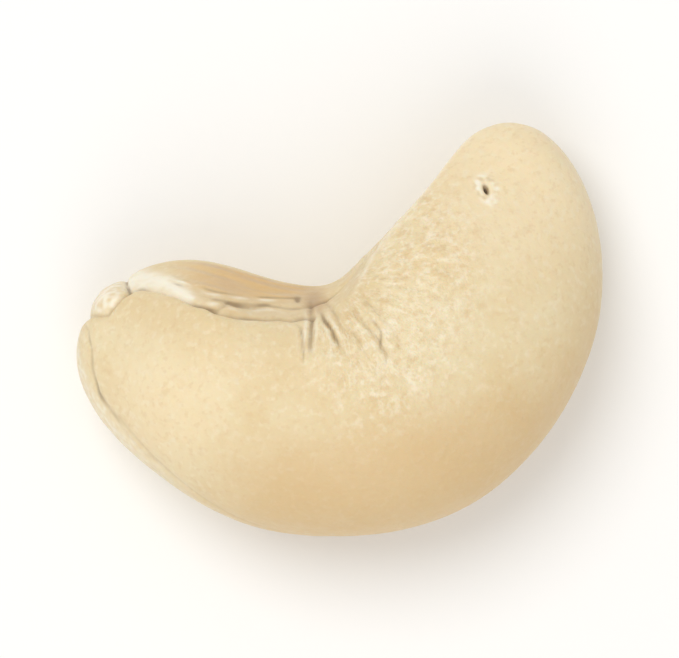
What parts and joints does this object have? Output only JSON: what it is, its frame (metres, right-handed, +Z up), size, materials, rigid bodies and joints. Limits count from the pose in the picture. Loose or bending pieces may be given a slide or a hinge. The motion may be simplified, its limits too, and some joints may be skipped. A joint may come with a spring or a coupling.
{
  "type": "cashew kernel",
  "caption": "Shelled cashew kernel: a plump seed bent like a bean, with a flat and a crease on the hollow side of its bend, pleats at the bend and a small forked root tip.",
  "frame": {"origin": "on the floor, under the middle of the kernel's box, with the kernel lying on its side", "axes": "+X along the kernel from its root end to its round end, +Y to the hollow side of the bend, +Z up"},
  "size_m": [0.0276, 0.0178, 0.0117],
  "materials": {
    "kernel": "blanched cashew flesh: smooth, waxy and dull, ivory to pale tan"
  },
  "bodies": {
    "root": {"kernel": "kernel"}
  },
  "joints": []
}
